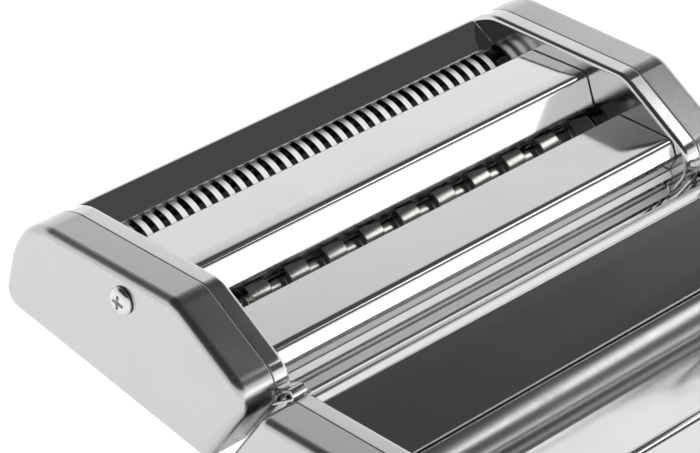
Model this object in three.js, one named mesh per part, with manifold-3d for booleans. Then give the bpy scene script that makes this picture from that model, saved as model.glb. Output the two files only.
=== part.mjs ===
// Hand-cranked pasta roller machine with a detachable double cutter head.
// Millimetres. While it is modelled, X runs along the rollers (crank side +X), Y points from
// the feed side to the cutter head, with Y = 0 at the nip of the smooth rollers, and Z = 0 is
// the table. The last lines move the origin to the foot of the machine's bounding box.
import * as THREE from 'three';
import { mergeVertices } from 'three/addons/utils/BufferGeometryUtils.js';
import Module from 'manifold-3d';

const wasm = await Module();
wasm.setup();

// ---------------------------------------------------------------- driving dimensions
const CLEAR = 0.3;            // gap between pieces that rest on each other
const SPAN = 142.4;           // between the inner faces of the side pans
const FLANGE = 5;             // depth of a side pan
const SEAM = 0.4;             // groove between a side pan and its cover
const COVER = 11;             // depth of a pressed end cover
const PAN_WALL = 1.2;
const COVER_WALL = 1;
const SHEET = 0.8;            // bent guides and shells
const SLOPE_GAP = 3.4;        // between the cutter head and the slope it hangs on

const INNER = SPAN / 2;                     // inner face of a side pan
const PAN_END = INNER + FLANGE;
const COVER_START = PAN_END + SEAM;
const FACE = COVER_START + COVER;           // outer face of a cover
const SHEET_END = INNER - CLEAR;            // end of a sheet part or roller

const SMOOTH = { radius: 14, gap: 0.4, travel: 2.6, z: 99, journal: 5, drive: 7 };
SMOOTH.y = SMOOTH.radius + SMOOTH.gap / 2;
const CUTTER = { radius: 9, core: 6.4, spacing: 16, journal: 5.2 };
const SPAGHETTI = { rear: 112.5, z: 121.6, disc: 2, rearDiscs: 35, frontDiscs: 35, gearX: 73.4 };
const FETTUCCINE = { rear: 77.6, z: 118.3, disc: 6.5, rearDiscs: 11, frontDiscs: 10, gearX: 79.6 };
const COMB = { belowDiscs: 1, belowCore: 0.5, side: 0.4, bar: 1.2, depth: 2.4 };
const CUTTER_GEAR = { teeth: 12, root: 6.6, tip: 9.1, width: 5 };
const SOCKET = { radius: 4, depth: 20, mouth: 86 };   // hexagonal crank socket
const CRANK = { hex: 3.6, arm: 78, x: 98, thick: 4, pin: 3, grip: 11.5, gripLength: 62 };
const CAM = { y: -37.1, z: 92, high: 10.6, low: 8, turn: 270, shaft: 3 };
const BLOCK = { width: 5.6, y: [-26.2, -5.2], z: [86, 109] };   // sliding bearing
const TIE_ROD = { y: 24, z: 73.5, radius: 3, neck: 2, nut: 3.4 };
const HEAD_ROD = { y: 82.2, z: 133.7, radius: 1.9, neck: 1.4, nut: 2.2 };
const NUT_LENGTH = 2;
const SCREW = { hole: 1.8, shank: 1.5, head: 4, top: 2.8, rim: 0.9, height: 1.8 };
const BUSH = { drive: 10, plain: 8 };       // outer radii, right and left
const PLATE = { radius: 18, thick: 0.8 };   // setting ring behind the knob
const KNOB = { gap: 2.4, length: 16, bore: 11 };
const BASE = { x: 84, y: 68, corner: 12, top: 12, skirt: 3, wall: 1.5 };
const CLAMP_SLOT = { x: [-17, 17], y: [-62, -53] };
const FOOT = { x: 70, y: 54, radius: 9 };

// Corners are [y, z, radius], anticlockwise seen from +X.
const HEAD_OUTLINE = [
  [53.9, 100.6, 5], [129.3, 112.9, 5.5], [124.6, 130, 20],
  [114.5, 141, 20], [64.3, 141, 7], [37.8, 124.3, 7.5],
];
const SLOPE_FOOT = HEAD_OUTLINE[0];
const SLOPE_TOP = HEAD_OUTLINE[5];
const SLOPE_ANGLE = Math.atan2(SLOPE_FOOT[0] - SLOPE_TOP[0], SLOPE_TOP[1] - SLOPE_FOOT[1]);
const BODY_TOP = 122.5;
const BODY_WIDE = 96;
const COVER_FOOT = 66;

// Half-width of the body at height z on its front and rear slopes.
function slopeHalfWidth(z) {
  const surface = SLOPE_FOOT[0] - (z - SLOPE_FOOT[1]) * Math.tan(SLOPE_ANGLE);
  return surface - SLOPE_GAP / Math.cos(SLOPE_ANGLE);
}

// Bent sheets are drawn as [y, z] paths along the middle of the sheet.
const GUIDES = {
  rear_guide: [[110.6, 132.6], [119.2, 137.2], [122.9, 130.2], [126.8, 114.8]],
  centre_guide: [[98.2, 133.5], [96.9, 136], [77.2, 136.6], [74.2, 128.3]],
  front_guide: [
    [65.1, 128.7], [46.9, 128.5], [45.2, 124.1], [47.4, 119.8],
    [46.2, 117.6], [47.5, 114.8], [46.4, 112.4], [49.1, 108.4],
  ],
};
const SHELL = [[9.2, 113.2], [32.4, 119.5], [33.6, 121.6], [35, 120.8], [51.9, 96], [43.2, COVER_FOOT]];
const SCRAPER = [[22.6, 86.6], [26.5, 84.5], [33, 84.5]];

// Sections of the rails and hooks: X, and distance from the slope.
const RAIL = {
  section: [[68.5, 0.3], [76, 0.3], [76, 3.1], [73, 3.1], [73, 2.5], [75.3, 2.5], [75.3, 0.9], [68.5, 0.9]],
  start: 6, end: 29,
};
const HOOK = {
  section: [[69.5, 1.3], [75, 1.3], [75, 2.1], [72, 2.1], [72, 3.1], [69.5, 3.1]],
  start: 9, end: 28,
};

function mirrored(half) {
  return [...half, ...half.map(([y, z, r]) => [-y, z, r]).reverse()];
}

const BODY_UPPER = [[slopeHalfWidth(BODY_WIDE), BODY_WIDE, 5], [slopeHalfWidth(BODY_TOP), BODY_TOP, 3]];
const COVER_OUTLINE = mirrored([[44, COVER_FOOT, 8], ...BODY_UPPER]);
const FRAME_OUTLINE = mirrored([[56, BASE.top + CLEAR, 3], [43, 60, 12], ...BODY_UPPER]);

// ---------------------------------------------------------------- finishes
const finish = (color, roughness, metalness) => ({ color, roughness, metalness });
const POLISHED = finish(0xd2d3d4, 0.12, 1);
const SATIN = finish(0xc4c5c4, 0.32, 1);
const MACHINED = finish(0xa9aaa8, 0.4, 1);
const BRONZE = finish(0xa5854f, 0.35, 1);
const BLACK_PLASTIC = finish(0x1c1c1d, 0.45, 0);
const RUBBER = finish(0x2a2a2b, 0.85, 0);
const DIAL = finish(0xe4e4e0, 0.4, 0);

const machine = new THREE.Group();

function add(name, geometry, look, parent = machine) {
  const mesh = new THREE.Mesh(geometry, new THREE.MeshStandardMaterial(look));
  mesh.name = name;
  parent.add(mesh);
  return mesh;
}

// ---------------------------------------------------------------- shapes and solids
function roundedShape(corners) {
  const shape = new THREE.Shape();
  corners.forEach(([y, z, r], i) => {
    const here = new THREE.Vector2(y, z);
    const toPrevious = new THREE.Vector2(...corners.at(i - 1)).sub(here).normalize();
    const toNext = new THREE.Vector2(...corners[(i + 1) % corners.length]).sub(here).normalize();
    const cut = r / Math.tan(toPrevious.angleTo(toNext) / 2);
    const start = here.clone().addScaledVector(toPrevious, cut);
    const end = here.clone().addScaledVector(toNext, cut);
    if (i === 0) shape.moveTo(start.x, start.y);
    else shape.lineTo(start.x, start.y);
    shape.quadraticCurveTo(here.x, here.y, end.x, end.y);
  });
  shape.closePath();
  return shape;
}

// The same corners moved inwards by d, for the inside of a pressed wall.
function inset(corners, d) {
  return corners.map(([y, z, r], i) => {
    const here = new THREE.Vector2(y, z);
    const before = here.clone().sub(new THREE.Vector2(...corners.at(i - 1))).normalize();
    const after = new THREE.Vector2(...corners[(i + 1) % corners.length]).sub(here).normalize();
    const inward = new THREE.Vector2(-before.y - after.y, before.x + after.x).normalize();
    const moved = here.addScaledVector(inward, d / Math.cos(before.angleTo(after) / 2));
    return [moved.x, moved.y, Math.max(r - d, 0.5)];
  });
}

// A bent sheet seen from its end: the path is its middle line.
function sheetShape(path, thickness) {
  const points = path.map(([y, z]) => new THREE.Vector2(y, z));
  const side = (sign) => points.map((here, i) => {
    const before = (i ? here.clone().sub(points[i - 1]) : points[1].clone().sub(here)).normalize();
    const last = i === points.length - 1;
    const after = (last ? here.clone().sub(points[i - 1]) : points[i + 1].clone().sub(here)).normalize();
    const normal = new THREE.Vector2(-before.y - after.y, before.x + after.x).normalize();
    const reach = thickness / 2 / Math.cos(before.angleTo(after) / 2);
    return here.clone().addScaledVector(normal, sign * reach);
  });
  return new THREE.Shape([...side(-1), ...side(1).reverse()]);
}

function circle(y, z, radius) {
  return new THREE.Shape().absarc(y, z, radius, 0, 2 * Math.PI);
}

// A (y, z) shape drawn out along X.
function alongX(shape, start, end, options = {}) {
  const settings = { depth: end - start, bevelEnabled: false, curveSegments: 4, ...options };
  const geometry = new THREE.ExtrudeGeometry(shape, settings);
  const axes = new THREE.Matrix4().makeBasis(
    new THREE.Vector3(0, 1, 0), new THREE.Vector3(0, 0, 1), new THREE.Vector3(1, 0, 0));
  return geometry.applyMatrix4(axes).translate(start, 0, 0);
}

// A (x, y) shape drawn out along Z.
function alongZ(shape, start, end) {
  const settings = { depth: end - start, bevelEnabled: false, curveSegments: 4 };
  return new THREE.ExtrudeGeometry(shape, settings).translate(0, 0, start);
}

function box(...ranges) {
  const size = ranges.map(([low, high]) => high - low);
  const middle = ranges.map(([low, high]) => (low + high) / 2);
  return new THREE.BoxGeometry(...size).translate(...middle);
}

function toSolid(geometry) {
  const bare = geometry.clone();
  bare.deleteAttribute('normal');
  bare.deleteAttribute('uv');
  const merged = mergeVertices(bare, 1e-4);
  const triangles = [];
  for (let i = 0; i < merged.index.count; i += 3) {
    const [a, b, c] = [0, 1, 2].map((k) => merged.index.getX(i + k));
    if (a !== b && b !== c && c !== a) triangles.push(a, b, c);
  }
  return new wasm.Manifold(new wasm.Mesh({
    numProp: 3,
    vertProperties: merged.attributes.position.array,
    triVerts: new Uint32Array(triangles),
  }));
}

function toGeometry(solid) {
  const { vertProperties, triVerts } = solid.getMesh();
  const geometry = new THREE.BufferGeometry();
  geometry.setAttribute('position', new THREE.BufferAttribute(vertProperties, 3));
  geometry.setIndex(new THREE.BufferAttribute(triVerts, 1));
  return geometry;
}

function cut(geometry, tools) {
  return toGeometry(tools.reduce((solid, tool) => solid.subtract(toSolid(tool)), toSolid(geometry)));
}

function join(geometry, others) {
  return toGeometry(others.reduce((solid, other) => solid.add(toSolid(other)), toSolid(geometry)));
}

// A hole of the given radius through everything between two X planes.
const ROUND_HOLE = { curveSegments: 8 };
const bore = (y, z, radius, start, end) => alongX(circle(y, z, radius), start, end, ROUND_HOLE);

// Turned work: steps are [radius, x] pairs from one end to the other, about the X axis.
function turned(steps, segments) {
  const points = [[0, steps[0][1]], ...steps, [0, steps.at(-1)[1]]].map(([r, x]) => new THREE.Vector2(r, x));
  return new THREE.LatheGeometry(points, segments).rotateZ(-Math.PI / 2);
}

function gearShape(teeth, root, tip, boreRadius) {
  const pitch = (2 * Math.PI) / teeth;
  const shape = new THREE.Shape();
  for (let i = 0; i < teeth; i += 1) {
    const corners = [[root, -0.23], [tip, -0.1], [tip, 0.1], [root, 0.23]];
    corners.forEach(([radius, part], k) => {
      const angle = (i + part) * pitch;
      const point = [radius * Math.cos(angle), radius * Math.sin(angle)];
      if (i + k === 0) shape.moveTo(...point);
      else shape.lineTo(...point);
    });
  }
  shape.closePath();
  shape.holes.push(new THREE.Path().absarc(0, 0, boreRadius, 0, 2 * Math.PI));
  return shape;
}

const hexPrism = (radius, start, end) => new THREE.CylinderGeometry(radius, radius, end - start, 6)
  .rotateZ(-Math.PI / 2).translate((start + end) / 2, 0, 0);

// ---------------------------------------------------------------- end pieces, left (-X) and right (+X)
const SIDES = [['left', -1], ['right', 1]];

function slab(shape, side, near, far, options) {
  return side > 0 ? alongX(shape, near, far, options) : alongX(shape, -far, -near, options);
}

function pan(outline, side, holes) {
  const inside = roundedShape(inset(outline, PAN_WALL));
  const body = slab(roundedShape(outline), side, INNER, PAN_END);
  const pocket = slab(inside, side, INNER + PAN_WALL, PAN_END + 1);
  return cut(body, [pocket, ...holes]);
}

function cover(outline, side, holes) {
  const edge = 1.6;
  const bevel = {
    bevelEnabled: true, bevelThickness: edge, bevelSize: edge, bevelOffset: -edge, bevelSegments: 2,
  };
  const start = COVER_START - 2 * edge;
  const block = slab(roundedShape(outline), side, start + edge, FACE - edge, bevel);
  const waste = slab(roundedShape(inset(outline, -5)), side, start - 1, COVER_START);
  const pocket = slab(roundedShape(inset(outline, COVER_WALL)), side, start - 1, FACE - COVER_WALL);
  return cut(block, [waste, pocket, ...holes]);
}

const throughWall = (y, z, radius) => bore(y, z, radius, -FACE - 5, FACE + 5);

// ---------------------------------------------------------------- base and frame
function addBase() {
  const corner = ({ x, y, r }) => [[x, -y, r], [x, y, r], [-x, y, r], [-x, -y, r]];
  const outer = roundedShape(corner({ x: BASE.x, y: BASE.y, r: BASE.corner }));
  const inner = roundedShape(
    corner({ x: BASE.x - BASE.wall, y: BASE.y - BASE.wall, r: BASE.corner - BASE.wall }));
  const clampSlot = box(CLAMP_SLOT.x, CLAMP_SLOT.y, [0, BASE.top + 1]);
  const tray = cut(alongZ(outer, BASE.skirt, BASE.top), [
    alongZ(inner, 0, BASE.top - BASE.wall), clampSlot,
  ]);
  add('base_plate', tray, POLISHED);
  const footTop = BASE.top - BASE.wall - CLEAR;
  const profile = [
    [0, 0], [FOOT.radius - 1, 0], [FOOT.radius, 1], [FOOT.radius - 1.5, footTop], [0, footTop],
  ];
  const points = profile.map(([r, z]) => new THREE.Vector2(r, z));
  for (const [end, y] of [['front', -FOOT.y], ['rear', FOOT.y]]) {
    for (const [name, side] of SIDES) {
      const turnedFoot = new THREE.LatheGeometry(points, 12).rotateX(Math.PI / 2);
      const foot = add(`foot_${end}_${name}`, turnedFoot, RUBBER);
      foot.position.set(side * FOOT.x, y, 0);
    }
  }
}

function addSideFrames() {
  for (const [name, side] of SIDES) {
    const bushHole = (side > 0 ? BUSH.drive : BUSH.plain) + CLEAR;
    const slotHeight = SMOOTH.journal + CLEAR;
    const slot = box(
      [-FACE, FACE], [-SMOOTH.y - SMOOTH.travel - slotHeight, -SMOOTH.y + slotHeight],
      [SMOOTH.z - slotHeight, SMOOTH.z + slotHeight]);
    const rods = [-TIE_ROD.y, TIE_ROD.y].map((y) => throughWall(y, TIE_ROD.z, TIE_ROD.neck + CLEAR));
    const shaft = throughWall(CAM.y, CAM.z, CAM.shaft + CLEAR);
    add(`side_frame_${name}`, pan(FRAME_OUTLINE, side, [
      throughWall(SMOOTH.y, SMOOTH.z, bushHole), slot, shaft, ...rods,
    ]), SATIN);
    const screws = [-TIE_ROD.y, TIE_ROD.y].map((y) => throughWall(y, TIE_ROD.z, SCREW.hole));
    const opening = side > 0
      ? throughWall(SMOOTH.y, SMOOTH.z, SMOOTH.drive + 1)
      : throughWall(CAM.y, CAM.z, CAM.shaft + 0.5);
    add(`body_cover_${name}`, cover(COVER_OUTLINE, side, [...screws, opening]), POLISHED);
  }
}

function addShells() {
  const rear = alongX(sheetShape(SHELL, SHEET), -SHEET_END, SHEET_END);
  const front = alongX(sheetShape(SHELL.map(([y, z]) => [-y, z]), SHEET), -SHEET_END, SHEET_END);
  add('rear_shell', rear, POLISHED);
  add('front_shell', front, POLISHED);
}

// A rod between two side walls, with a neck and a nut at each end.
function tieRod(rod) {
  const end = INNER - CLEAR;
  const wall = INNER + PAN_WALL + CLEAR;
  return turned([
    [rod.nut, -wall - NUT_LENGTH], [rod.nut, -wall], [rod.neck, -wall], [rod.neck, -end],
    [rod.radius, -end], [rod.radius, end], [rod.neck, end], [rod.neck, wall],
    [rod.nut, wall], [rod.nut, wall + NUT_LENGTH],
  ], 10);
}

// It reaches through a cover to the nut of the rod behind it.
function coverScrew() {
  const shankEnd = INNER + PAN_WALL + NUT_LENGTH + 2 * CLEAR;
  return turned([
    [SCREW.shank, shankEnd], [SCREW.shank, FACE + CLEAR], [SCREW.head, FACE + CLEAR],
    [SCREW.head, FACE + SCREW.rim], [SCREW.top, FACE + SCREW.height],
  ], 10);
}

function addTieRods() {
  for (const [end, y] of [['front', -TIE_ROD.y], ['rear', TIE_ROD.y]]) {
    add(`tie_rod_${end}`, tieRod(TIE_ROD), MACHINED).position.set(0, y, TIE_ROD.z);
    for (const [name, side] of SIDES) {
      const screw = add(`body_screw_${end}_${name}`, coverScrew(), POLISHED);
      screw.position.set(0, y, TIE_ROD.z);
      screw.rotation.z = side > 0 ? 0 : Math.PI;
    }
  }
}

// ---------------------------------------------------------------- smooth rollers and their drive
const GEAR = { teeth: 14, root: 11.8, tip: 16.2, start: 78.9, width: 6.6 };

function addGear(name, spec, boreRadius, y, z, turn) {
  const shape = gearShape(spec.teeth, spec.root, spec.tip, boreRadius);
  const geometry = alongX(shape, 0, spec.width, { curveSegments: 12 });
  const gear = add(name, geometry, MACHINED);
  gear.position.set(spec.start, y, z);
  gear.rotation.x = turn;
}

function addSmoothRollers() {
  const { radius, journal, drive, y, z } = SMOOTH;
  const fixed = cut(turned([
    [journal, -PAN_END - 1], [journal, -SHEET_END], [radius, -SHEET_END], [radius, SHEET_END],
    [drive, SHEET_END], [drive, SOCKET.mouth],
  ], 32), [hexPrism(SOCKET.radius, SOCKET.mouth - SOCKET.depth, SOCKET.mouth + 1)]);
  add('fixed_roller', fixed, POLISHED).position.set(0, y, z);
  const adjustable = turned([
    [journal, -PAN_END - 3], [journal, -SHEET_END], [radius, -SHEET_END], [radius, SHEET_END],
    [journal, SHEET_END], [journal, GEAR.start + GEAR.width],
  ], 32);
  add('adjustable_roller', adjustable, POLISHED).position.set(0, -y, z);
  addGear('fixed_gear', GEAR, drive + CLEAR, y, z, 0);
  addGear('adjustable_gear', GEAR, journal + CLEAR, -y, z, Math.PI / GEAR.teeth);
}

function addBearings() {
  const wall = INNER + PAN_WALL;
  for (const [name, side] of SIDES) {
    const [inside, outside] = side > 0 ? [SMOOTH.drive, BUSH.drive] : [SMOOTH.journal, BUSH.plain];
    const ring = circle(SMOOTH.y, SMOOTH.z, outside);
    ring.holes.push(circle(SMOOTH.y, SMOOTH.z, inside + CLEAR));
    add(`roller_bush_${name}`, slab(ring, side, INNER + CLEAR, PAN_END, { curveSegments: 10 }), BRONZE);
    const middle = side * (wall + CLEAR + BLOCK.width / 2);
    const block = box([middle - BLOCK.width / 2, middle + BLOCK.width / 2], BLOCK.y, BLOCK.z);
    add(`bearing_block_${name}`, cut(block, [
      throughWall(-SMOOTH.y, SMOOTH.z, SMOOTH.journal + CLEAR),
    ]), BRONZE);
  }
}

function addScrapers() {
  for (const [name, sign] of [['rear', 1], ['front', -1]]) {
    const reach = sign < 0 ? SMOOTH.travel : 0;
    const blade = sheetShape(SCRAPER.map(([y, z]) => [sign * (y + reach), z]), SHEET);
    add(`scraper_${name}`, alongX(blade, -SHEET_END, SHEET_END), SATIN);
  }
}

// ---------------------------------------------------------------- thickness regulator
function camShape() {
  const shape = new THREE.Shape();
  const steps = 36;
  for (let i = 0; i < steps; i += 1) {
    const degrees = (360 / steps) * i;
    const fall = Math.min(degrees / CAM.turn, 1);
    const rise = Math.max((degrees - 300) / 60, 0);
    const radius = CAM.high - (CAM.high - CAM.low) * (fall - rise);
    const angle = THREE.MathUtils.degToRad(degrees);
    const point = [radius * Math.cos(angle), radius * Math.sin(angle)];
    if (i === 0) shape.moveTo(...point);
    else shape.lineTo(...point);
  }
  shape.closePath();
  shape.holes.push(new THREE.Path().absarc(0, 0, CAM.shaft + CLEAR, 0, 2 * Math.PI));
  return shape;
}

function addRegulator() {
  const cam = { start: INNER + PAN_WALL + 0.6, width: 5 };
  for (const [name, side] of SIDES) {
    const geometry = slab(camShape(), side, cam.start, cam.start + cam.width, { curveSegments: 10 });
    add(`regulator_cam_${name}`, geometry, MACHINED).position.set(0, CAM.y, CAM.z);
  }
  const shaft = turned([[CAM.shaft, -FACE - 12], [CAM.shaft, cam.start + cam.width + 2]], 16);
  add('regulator_shaft', shaft, MACHINED).position.set(0, CAM.y, CAM.z);
  const plate = circle(CAM.y, CAM.z, PLATE.radius);
  plate.holes.push(circle(CAM.y, CAM.z, CAM.shaft + 0.5));
  add('dial_plate', alongX(plate, -FACE - CLEAR - PLATE.thick, -FACE - CLEAR, { curveSegments: 12 }), DIAL);
  const near = -FACE - KNOB.gap;
  const knob = cut(turned([
    [12, near - KNOB.length], [14, near - KNOB.length + 2], [14.5, near - 6], [13.5, near],
  ], 20), [turned([[CAM.shaft + CLEAR, near - KNOB.bore], [CAM.shaft + CLEAR, near + 1]], 16)]);
  add('regulator_knob', knob, BLACK_PLASTIC).position.set(0, CAM.y, CAM.z);
}

// ---------------------------------------------------------------- crank
function addCrank() {
  const { hex, arm, x, thick, pin, grip, gripLength } = CRANK;
  const armEnd = 7;
  const outline = roundedShape([
    [armEnd, -arm - armEnd, 5], [armEnd, armEnd, 5], [-armEnd, armEnd, 5], [-armEnd, -arm - armEnd, 5],
  ]);
  const pinEnd = x + thick + gripLength + 4;
  const pinRod = turned([
    [pin, x + thick - 0.5], [pin, pinEnd - 2], [pin + 2, pinEnd - 2], [pin + 2, pinEnd],
  ], 16).translate(0, 0, -arm);
  const shaft = join(hexPrism(hex, SOCKET.mouth - SOCKET.depth + CLEAR, FACE + 2), [
    turned([[5, FACE + 1], [5, x + 0.5]], 20),
    alongX(outline, x, x + thick),
    pinRod,
  ]);
  add('crank_arm', shaft, POLISHED).position.set(0, SMOOTH.y, SMOOTH.z);
  const start = x + thick + CLEAR;
  const end = pinEnd - 2 - CLEAR;
  const body = turned([
    [7.5, start], [8.5, start + 2], [grip * 0.9, start + 20], [grip, start + 42],
    [grip * 0.93, end - 6], [grip * 0.72, end],
  ], 16);
  const handle = cut(body, [turned([[pin + CLEAR, start - 1], [pin + CLEAR, end + 1]], 16)]);
  add('crank_grip', handle, BLACK_PLASTIC).position.set(0, SMOOTH.y, SMOOTH.z - arm);
}

// ---------------------------------------------------------------- cutter head
function addHeadSides() {
  const journals = [SPAGHETTI, FETTUCCINE].flatMap(({ rear, z }) =>
    [rear, rear - CUTTER.spacing].map((y) => throughWall(y, z, CUTTER.journal + CLEAR)));
  const sockets = [
    throughWall(SPAGHETTI.rear, SPAGHETTI.z, CUTTER.journal + 1),
    throughWall(FETTUCCINE.rear - CUTTER.spacing, FETTUCCINE.z, CUTTER.journal + 1),
  ];
  const rod = throughWall(HEAD_ROD.y, HEAD_ROD.z, HEAD_ROD.neck + CLEAR);
  const screw = throughWall(HEAD_ROD.y, HEAD_ROD.z, SCREW.hole);
  for (const [name, side] of SIDES) {
    add(`head_frame_${name}`, pan(HEAD_OUTLINE, side, [...journals, rod]), SATIN);
    const holes = side > 0 ? [screw, ...sockets] : [screw];
    add(`head_cover_${name}`, cover(HEAD_OUTLINE, side, holes), SATIN);
    const fastener = add(`head_screw_${name}`, coverScrew(), POLISHED);
    fastener.position.set(0, HEAD_ROD.y, HEAD_ROD.z);
    fastener.rotation.z = side > 0 ? 0 : Math.PI;
  }
  add('head_tie_rod', tieRod(HEAD_ROD), MACHINED).position.set(0, HEAD_ROD.y, HEAD_ROD.z);
}

function addGuides() {
  for (const [name, path] of Object.entries(GUIDES)) {
    add(name, alongX(sheetShape(path, SHEET), -SHEET_END, SHEET_END), POLISHED);
  }
}

// A cutting roller: discs on a core. The first disc starts at x = first.
function cuttingRoller(spec, first, count, journalEnd, segments) {
  const steps = [[CUTTER.journal, -PAN_END - 1], [CUTTER.journal, -SHEET_END], [CUTTER.core, -SHEET_END]];
  for (let i = 0; i < count; i += 1) {
    const x = first + 2 * spec.disc * i;
    const end = x + spec.disc;
    steps.push([CUTTER.core, x], [CUTTER.radius, x], [CUTTER.radius, end], [CUTTER.core, end]);
  }
  steps.push([CUTTER.core, SHEET_END], [CUTTER.journal, SHEET_END], [CUTTER.journal, journalEnd]);
  return turned(steps, segments);
}

// A stripping comb under a roller, with a finger in each groove.
function comb(spec, first, count) {
  const bar = spec.z - CUTTER.radius - COMB.belowDiscs;
  const tip = spec.z - CUTTER.core - COMB.belowCore;
  const shape = new THREE.Shape();
  shape.moveTo(-SHEET_END, bar - COMB.bar);
  shape.lineTo(SHEET_END, bar - COMB.bar);
  shape.lineTo(SHEET_END, bar);
  for (let i = count - 1; i > 0; i -= 1) {
    const discStart = first + 2 * spec.disc * i;
    const [left, right] = [discStart - spec.disc + COMB.side, discStart - COMB.side];
    [[right, bar], [right, tip], [left, tip], [left, bar]].forEach(([x, z]) => shape.lineTo(x, z));
  }
  shape.lineTo(-SHEET_END, bar);
  shape.closePath();
  const geometry = new THREE.ExtrudeGeometry(shape, { depth: COMB.depth, bevelEnabled: false });
  return geometry.rotateX(Math.PI / 2).translate(0, COMB.depth / 2, 0);
}

function addCutters(label, spec, drive, segments) {
  const rearFirst = (-spec.disc * (spec.rearDiscs + spec.frontDiscs)) / 2;
  const gear = { ...CUTTER_GEAR, start: spec.gearX };
  const ends = [['rear', spec.rear, spec.rearDiscs], ['front', spec.rear - CUTTER.spacing, spec.frontDiscs]];
  ends.forEach(([end, y, count], shift) => {
    const first = rearFirst + shift * spec.disc;
    const driven = end === drive;
    const journalEnd = driven ? SOCKET.mouth : spec.gearX + gear.width + 0.5;
    const roller = cuttingRoller(spec, first, count, journalEnd, segments);
    const socket = hexPrism(SOCKET.radius, SOCKET.mouth - SOCKET.depth, SOCKET.mouth + 1);
    const name = `${label}_${end}`;
    add(`${name}_roller`, driven ? cut(roller, [socket]) : roller, MACHINED).position.set(0, y, spec.z);
    add(`${name}_comb`, comb(spec, first, count), SATIN).position.set(0, y, 0);
    addGear(`${name}_gear`, gear, CUTTER.journal + CLEAR, y, spec.z, shift * (Math.PI / gear.teeth));
  });
}

// The head's hooks slide in rails on the body's rear slope. In this group Y is the distance
// from the slope and Z runs up it.
function addRails() {
  const slope = new THREE.Group();
  slope.position.set(0, slopeHalfWidth(BODY_WIDE), BODY_WIDE);
  slope.rotation.x = SLOPE_ANGLE;
  machine.add(slope);
  const drawn = ({ section, start, end }, side) => {
    const shape = new THREE.Shape(section.map(([x, y]) => new THREE.Vector2(side * x, y)));
    const bar = new THREE.ExtrudeGeometry(shape, { depth: end - start, bevelEnabled: false });
    return bar.translate(0, 0, start);
  };
  for (const [name, side] of SIDES) {
    add(`hook_rail_${name}`, drawn(RAIL, side), POLISHED, slope);
    add(`head_hook_${name}`, drawn(HOOK, side), SATIN, slope);
  }
}

addBase();
addSideFrames();
addShells();
addTieRods();
addSmoothRollers();
addBearings();
addScrapers();
addRegulator();
addCrank();
addHeadSides();
addGuides();
addCutters('spaghetti', SPAGHETTI, 'rear', 8);
addCutters('fettuccine', FETTUCCINE, 'front', 12);
addRails();

// The origin is the middle of the foot of the bounding box.
const reach = new THREE.Box3().setFromObject(machine);
const middle = reach.getCenter(new THREE.Vector3());
machine.position.set(-middle.x, -middle.y, -reach.min.z);

export default machine;
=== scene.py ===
# %% [markdown]
# # A hand-cranked pasta roller machine
# Two smooth rollers press dough into sheets, and a head hooked on behind them cuts the sheets into
# spaghetti or fettuccine. Nearly all of it is stainless steel: pressed covers, bent guides, ground and
# milled rollers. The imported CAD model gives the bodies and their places, the numbers here follow its
# sizes closely, and this lesson gives each piece its edges, bends and finish.

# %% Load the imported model
import math
import bmesh
import bpy
from mathutils import Matrix, Vector


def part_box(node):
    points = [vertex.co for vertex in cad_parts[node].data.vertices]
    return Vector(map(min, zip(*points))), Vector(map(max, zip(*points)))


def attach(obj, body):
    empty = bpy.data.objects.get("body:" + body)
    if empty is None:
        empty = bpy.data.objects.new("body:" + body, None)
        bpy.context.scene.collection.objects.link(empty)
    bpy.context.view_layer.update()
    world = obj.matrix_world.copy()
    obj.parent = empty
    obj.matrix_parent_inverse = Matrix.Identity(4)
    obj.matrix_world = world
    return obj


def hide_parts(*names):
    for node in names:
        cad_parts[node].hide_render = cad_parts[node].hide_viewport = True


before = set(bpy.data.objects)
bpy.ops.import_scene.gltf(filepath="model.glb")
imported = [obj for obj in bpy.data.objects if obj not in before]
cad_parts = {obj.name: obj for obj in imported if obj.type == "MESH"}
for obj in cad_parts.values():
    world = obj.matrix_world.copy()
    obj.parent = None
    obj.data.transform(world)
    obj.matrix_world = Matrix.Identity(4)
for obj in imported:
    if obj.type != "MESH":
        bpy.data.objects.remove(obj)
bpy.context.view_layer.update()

scene = bpy.context.scene

# %% [markdown]
# ## The camera
# A long lens looks down over the left end of the machine, close enough to fill the picture with the
# cutter head. A camera looks along its own -Z, so its three axes are the columns of its matrix.

# %% Camera
CAMERA_PLACE = (-0.5668, -0.4828, 0.5747)
CAMERA_RIGHT = Vector((0.71420, -0.69994, 0.0))
CAMERA_UP = Vector((0.36196, 0.36934, 0.85590))
LENS, SENSOR_WIDTH = 177.43, 36      # millimetres

camera_data = bpy.data.cameras.new("camera")
camera_data.lens = LENS
camera_data.sensor_width = SENSOR_WIDTH
camera = bpy.data.objects.new("camera", camera_data)
turn = Matrix((CAMERA_RIGHT, CAMERA_UP, CAMERA_RIGHT.cross(CAMERA_UP))).transposed()
camera.matrix_world = Matrix.Translation(CAMERA_PLACE) @ turn.to_4x4()
scene.collection.objects.link(camera)
scene.camera = camera
scene.view_settings.view_transform = "Standard"
print("camera height:", round(camera.location.z, 3))

# %% [markdown]
# ## A white studio that polished steel can mirror
# Steel has almost no colour of its own: it shows the room. A white table and a low white wall give the
# bright planes, and a dark ceiling gives the black ones, so a bend of a few degrees flips from one to
# the other. Light probes or a photographed room would do the same, but a few sums on the direction
# keep the room easy to change. Matt things get an even light instead, so the table stays pale.

# %% A short way to add shader nodes
def node(tree, kind, inputs=None, **settings):
    made = tree.nodes.new("ShaderNode" + kind)
    for name, value in settings.items():
        setattr(made, name, value)
    for name, value in (inputs or {}).items():
        if isinstance(value, bpy.types.NodeSocket):
            tree.links.new(value, made.inputs[name])
        else:
            made.inputs[name].default_value = value
    return made


def sums(tree, operation, *values):
    return node(tree, "Math", dict(enumerate(values)), operation=operation).outputs[0]


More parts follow.
